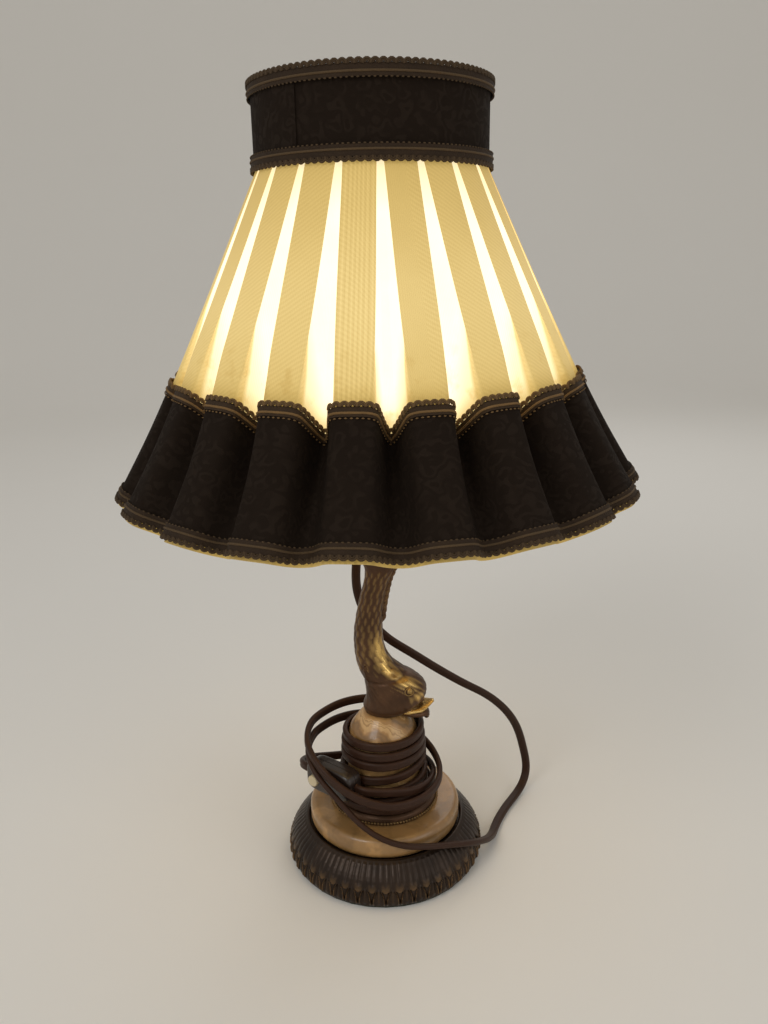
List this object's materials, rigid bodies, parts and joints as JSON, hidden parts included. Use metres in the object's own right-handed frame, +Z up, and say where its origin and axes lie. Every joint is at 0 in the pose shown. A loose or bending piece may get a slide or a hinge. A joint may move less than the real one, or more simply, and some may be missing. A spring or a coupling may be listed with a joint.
{
  "type": "table lamp",
  "caption": "Table lamp with a dolphin stem on an onyx column and bronze ring, a pleated cloth shade with a dark border, and its flex wound round the column.",
  "frame": {"origin": "middle of the felt face that the lamp rests on", "axes": "+Z up along the column and the lampholder; -Y is the lamp's front as pictured, +X its right"},
  "size_m": [0.3012, 0.3012, 0.4677],
  "materials": {
    "dark_bronze": "dark patinated cast bronze, worn on the leaf tips",
    "gilt_brass": "gilt brass with a dark patina in the hollows",
    "honey_onyx": "polished honey-coloured onyx stone",
    "banded_onyx": "polished onyx stone banded cream and caramel",
    "steel": "bright zinc-plated steel",
    "brass": "plain brass",
    "bakelite": "dark brown moulded bakelite",
    "porcelain": "glazed porcelain",
    "felt": "dull green felt",
    "ivory_cloth": "ivory twill cloth, lit from inside",
    "dark_cloth": "dark brown tone-on-tone brocade",
    "braid": "old-gold gimp braid",
    "frame_wire": "cream-painted steel wire",
    "opal_glass": "opal bulb glass",
    "nickel": "nickel-plated brass",
    "flex": "brown PVC twin flex, satin",
    "cream_plastic": "cream moulded plastic"
  },
  "bodies": {
    "lamp": {"base_felt": "felt", "base_ring": "dark_bronze", "base_plate": "steel", "onyx_disc": "honey_onyx", "beaded_ring": "gilt_brass", "onyx_column": "banded_onyx", "dolphin": "gilt_brass", "tie_rod": "steel", "tie_washer": "steel", "tie_nut": "brass", "tail_cup": "gilt_brass", "holder_nipple": "steel", "holder_cap": "bakelite", "cord_gland": "bakelite", "holder_shell": "bakelite", "holder_core": "porcelain", "screw_shell": "brass", "centre_contact": "brass", "cord_winding": "flex", "cord_free": "flex", "cord_tail": "flex", "switch_cover": "bakelite", "switch_base": "bakelite", "plug_body": "bakelite", "plug_pin_left": "nickel", "plug_pin_right": "nickel"},
    "bulb": {"bulb_cap": "nickel", "bulb_glass": "opal_glass"},
    "ring_nut": {"shade_ring_nut": "bakelite"},
    "button": {"switch_button": "cream_plastic"},
    "shade": {"frame_top_ring": "frame_wire", "frame_collar_ring": "frame_wire", "frame_lower_ring": "frame_wire", "frame_strut_1": "frame_wire", "frame_strut_2": "frame_wire", "frame_strut_3": "frame_wire", "frame_strut_4": "frame_wire", "frame_strut_5": "frame_wire", "frame_strut_6": "frame_wire", "shade_spider": "frame_wire", "collar_band": "dark_cloth", "collar_braid_top": "braid", "collar_braid_bottom": "braid", "pleated_cloth": "ivory_cloth", "border_cloth": "dark_cloth", "border_braid": "braid", "hem_braid": "braid"}
  },
  "joints": [
    {"name": "shade_turn", "type": "hinge", "parent": "lamp", "child": "shade", "pos_m": [0, 0, 0.282], "axis": [0, 0, 1], "continuous": true},
    {"name": "ring_nut_turn", "type": "hinge", "parent": "lamp", "child": "ring_nut", "pos_m": [0, 0, 0.2836], "axis": [0, 0, 1], "continuous": true},
    {"name": "bulb_turn", "type": "hinge", "parent": "lamp", "child": "bulb", "pos_m": [0, 0, 0.2689], "axis": [0, 0, 1], "continuous": true},
    {"name": "button_press", "type": "slide", "parent": "lamp", "child": "button", "axis": [0.6, 0.8, 0], "range_m": [0, 0.0015], "stiffness_N_per_m": 300, "springref_m": -0.001}
  ]
}
